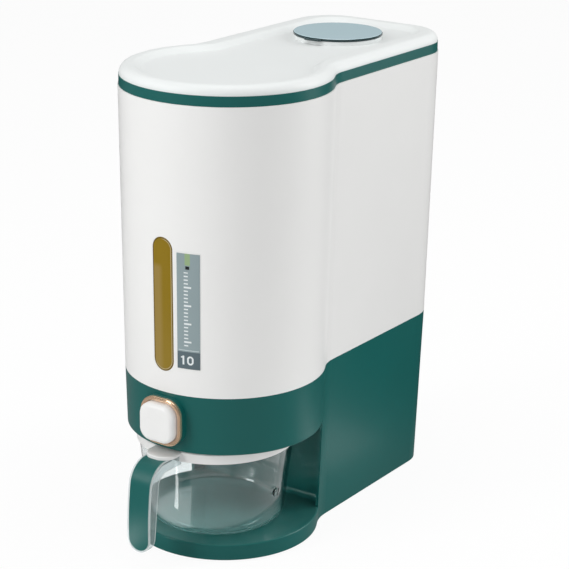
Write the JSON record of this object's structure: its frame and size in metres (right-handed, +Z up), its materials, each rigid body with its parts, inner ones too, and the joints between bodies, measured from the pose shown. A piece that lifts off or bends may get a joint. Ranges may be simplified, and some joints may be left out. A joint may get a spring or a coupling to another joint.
{
  "type": "rice dispenser",
  "caption": "Upright kitchen rice bin with a keyhole plan: lift-off lid, level window, push button that opens a sliding shutter, and a pull-out measuring cup in the base.",
  "frame": {"origin": "on the floor, under the middle of the box round the whole dispenser, handle included", "axes": "+Z up, -Y to the front with the button and the cup's handle, +X to the right seen from the front"},
  "size_m": [0.1836, 0.3784, 0.4218],
  "materials": {
    "green_plastic": "fine satin moulding, deep blue-green",
    "white_plastic": "smooth satin gloss moulding, white",
    "clear_plastic": "clear polished moulding",
    "blue_clear_plastic": "pale blue clear moulding",
    "amber_window": "smoked amber clear moulding",
    "label_film": "thin printed film, blue-grey",
    "rose_gold": "polished rose-gold plating",
    "spring_steel": "bare drawn wire",
    "screw_steel": "zinc plated",
    "foot_rubber": "matt rubber",
    "seal_rubber": "soft silicone, translucent grey",
    "pad_fleece": "pressed fleece"
  },
  "bodies": {
    "base": {"base_housing": "green_plastic", "bottom_cover": "green_plastic", "rubber_feet": "foot_rubber", "base_screws": "screw_steel", "bin_shell": "white_plastic", "window_lens": "amber_window", "scale_label": "label_film", "hopper_funnel": "white_plastic", "outlet_frame": "white_plastic", "frame_screws": "screw_steel", "button_bezel": "rose_gold"},
    "button": {"button_cap": "white_plastic", "push_link": "white_plastic", "shutter_plate": "white_plastic", "return_springs": "spring_steel"},
    "cup": {"cup_bowl": "clear_plastic", "cup_rim_ring": "white_plastic", "handle_frame": "clear_plastic", "handle_cover": "green_plastic"},
    "lid": {"lid_shell": "white_plastic", "lid_band": "green_plastic", "lid_gasket": "seal_rubber", "desiccant_tray": "white_plastic", "desiccant_pad": "pad_fleece"},
    "cover": {"desiccant_cover": "blue_clear_plastic", "cover_seal": "seal_rubber"}
  },
  "joints": [
    {"name": "lid_lift", "type": "slide", "parent": "base", "child": "lid", "axis": [0, 0, 1], "range_m": [0, 0.12]},
    {"name": "cover_lift", "type": "slide", "parent": "lid", "child": "cover", "axis": [0, 0, 1], "range_m": [0, 0.03]},
    {"name": "cup_slide", "type": "slide", "parent": "base", "child": "cup", "axis": [0, -1, 0], "range_m": [0, 0.16]},
    {"name": "button_press", "type": "slide", "parent": "base", "child": "button", "axis": [0, 1, 0], "range_m": [0, 0.009], "stiffness_N_per_m": 400, "springref_m": -0.01, "deforming": ["return_springs"]}
  ]
}
